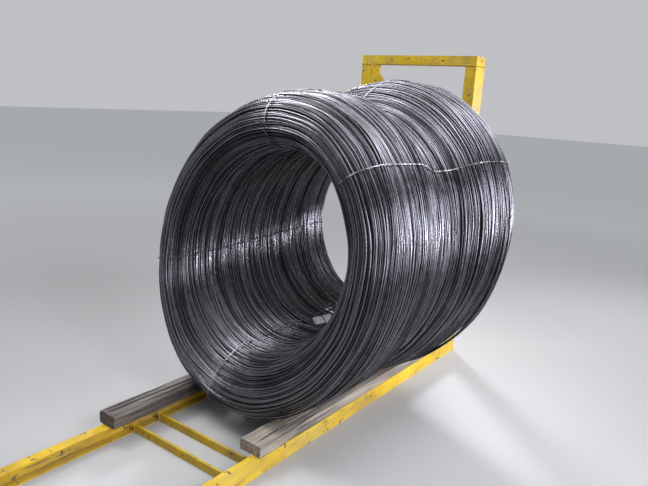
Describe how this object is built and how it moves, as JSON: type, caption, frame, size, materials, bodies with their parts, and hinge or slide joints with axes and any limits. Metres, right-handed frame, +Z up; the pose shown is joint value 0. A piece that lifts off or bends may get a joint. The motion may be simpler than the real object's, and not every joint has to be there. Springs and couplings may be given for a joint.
{
  "type": "coil of drawn wire on a low steel rack",
  "caption": "Coil of dark drawn steel wire lying on its side on the wood-topped rails of a low yellow rack with an end portal.",
  "frame": {"origin": "on the floor at the middle of the whole part's plan box, midway between the rack's near end and the portal's back, and 44 mm from the middle of the rack's width towards the plank", "axes": "+Z up, +Y along the rack towards the portal, +X to the side of the plank"},
  "size_m": [1.322, 2.324, 1.53],
  "materials": {
    "drawn_wire": "dark drawn steel wire with a thin oil film",
    "tie_wire": "bright annealed tie wire",
    "tag": "plain pale tag, nothing printed",
    "rack_paint": "worn yellow paint on steel sections",
    "old_wood": "oily dark sawn wood",
    "plank_wood": "dry grey-brown sawn plank"
  },
  "bodies": {
    "root": {"wire_coil": "drawn_wire", "tie_wire_top": "tie_wire", "tie_wire_right": "tie_wire", "tie_wire_left": "tie_wire", "tie_wire_bottom": "tie_wire", "coil_tag": "tag", "rail_left": "rack_paint", "rail_right": "rack_paint", "rung_front": "rack_paint", "rung_rear": "rack_paint", "sill": "rack_paint", "post_left": "rack_paint", "post_right": "rack_paint", "top_bar": "rack_paint", "portal_brace": "rack_paint", "timber_left": "old_wood", "plank_right": "plank_wood"}
  },
  "joints": []
}
